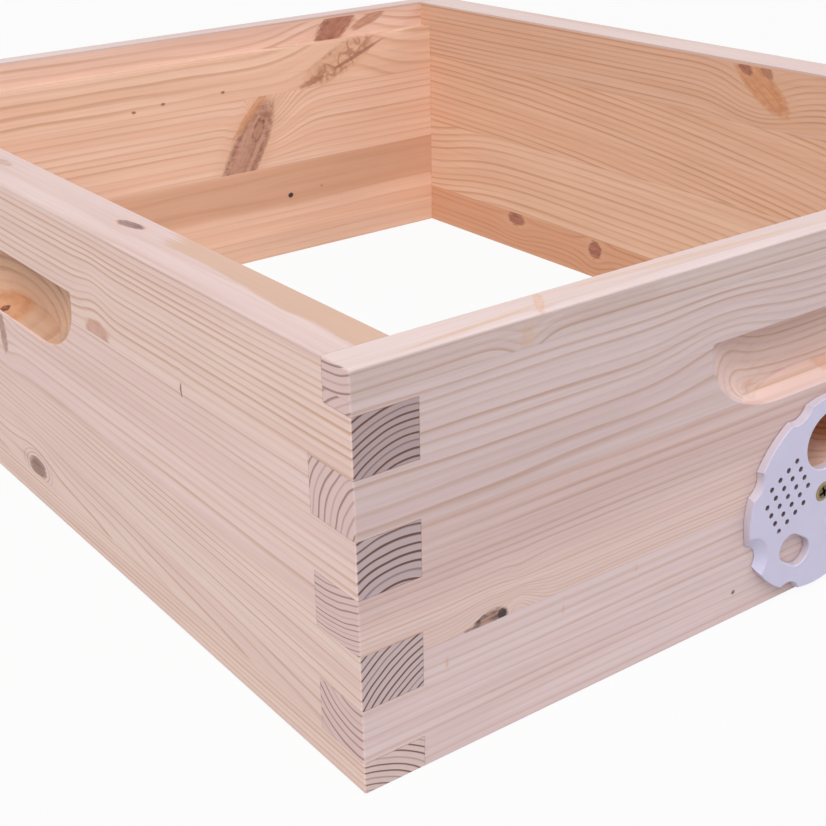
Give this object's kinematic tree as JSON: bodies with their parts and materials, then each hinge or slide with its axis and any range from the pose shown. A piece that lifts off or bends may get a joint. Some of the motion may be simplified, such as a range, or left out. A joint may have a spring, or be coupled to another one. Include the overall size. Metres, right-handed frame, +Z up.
{
  "type": "hive box",
  "caption": "Shallow wooden hive box, open above and below, with box-jointed corners, frame rests, scooped hand-holds and a turning entrance disc.",
  "frame": {"origin": "middle of the box on the level of its bottom edge", "axes": "+Z up, -Y out of the front end wall that carries the entrance disc, +Y along the frames, +X to the right seen from the front"},
  "size_m": [0.425, 0.5169, 0.148],
  "materials": {
    "pine": "bare, sanded",
    "reddish_pine": "bare, sanded heartwood",
    "disc_plastic": "moulded, satin",
    "screw_brass": "yellow passivated"
  },
  "bodies": {
    "box": {"front_bottom_board": "pine", "front_lower_board": "pine", "front_upper_board": "pine", "front_top_board": "pine", "left_bottom_board": "pine", "left_lower_board": "pine", "left_upper_board": "pine", "left_top_board": "pine", "rear_bottom_board": "pine", "rear_lower_board": "reddish_pine", "rear_upper_board": "pine", "rear_top_board": "pine", "right_bottom_board": "reddish_pine", "right_lower_board": "pine", "right_upper_board": "pine", "right_top_board": "pine", "disc_screw": "screw_brass"},
    "disc": {"entrance_disc": "disc_plastic"}
  },
  "joints": [
    {"name": "disc_turn", "type": "hinge", "parent": "box", "child": "disc", "pos_m": [0, -0.2565, 0.0424], "axis": [0, -1, 0], "continuous": true}
  ]
}
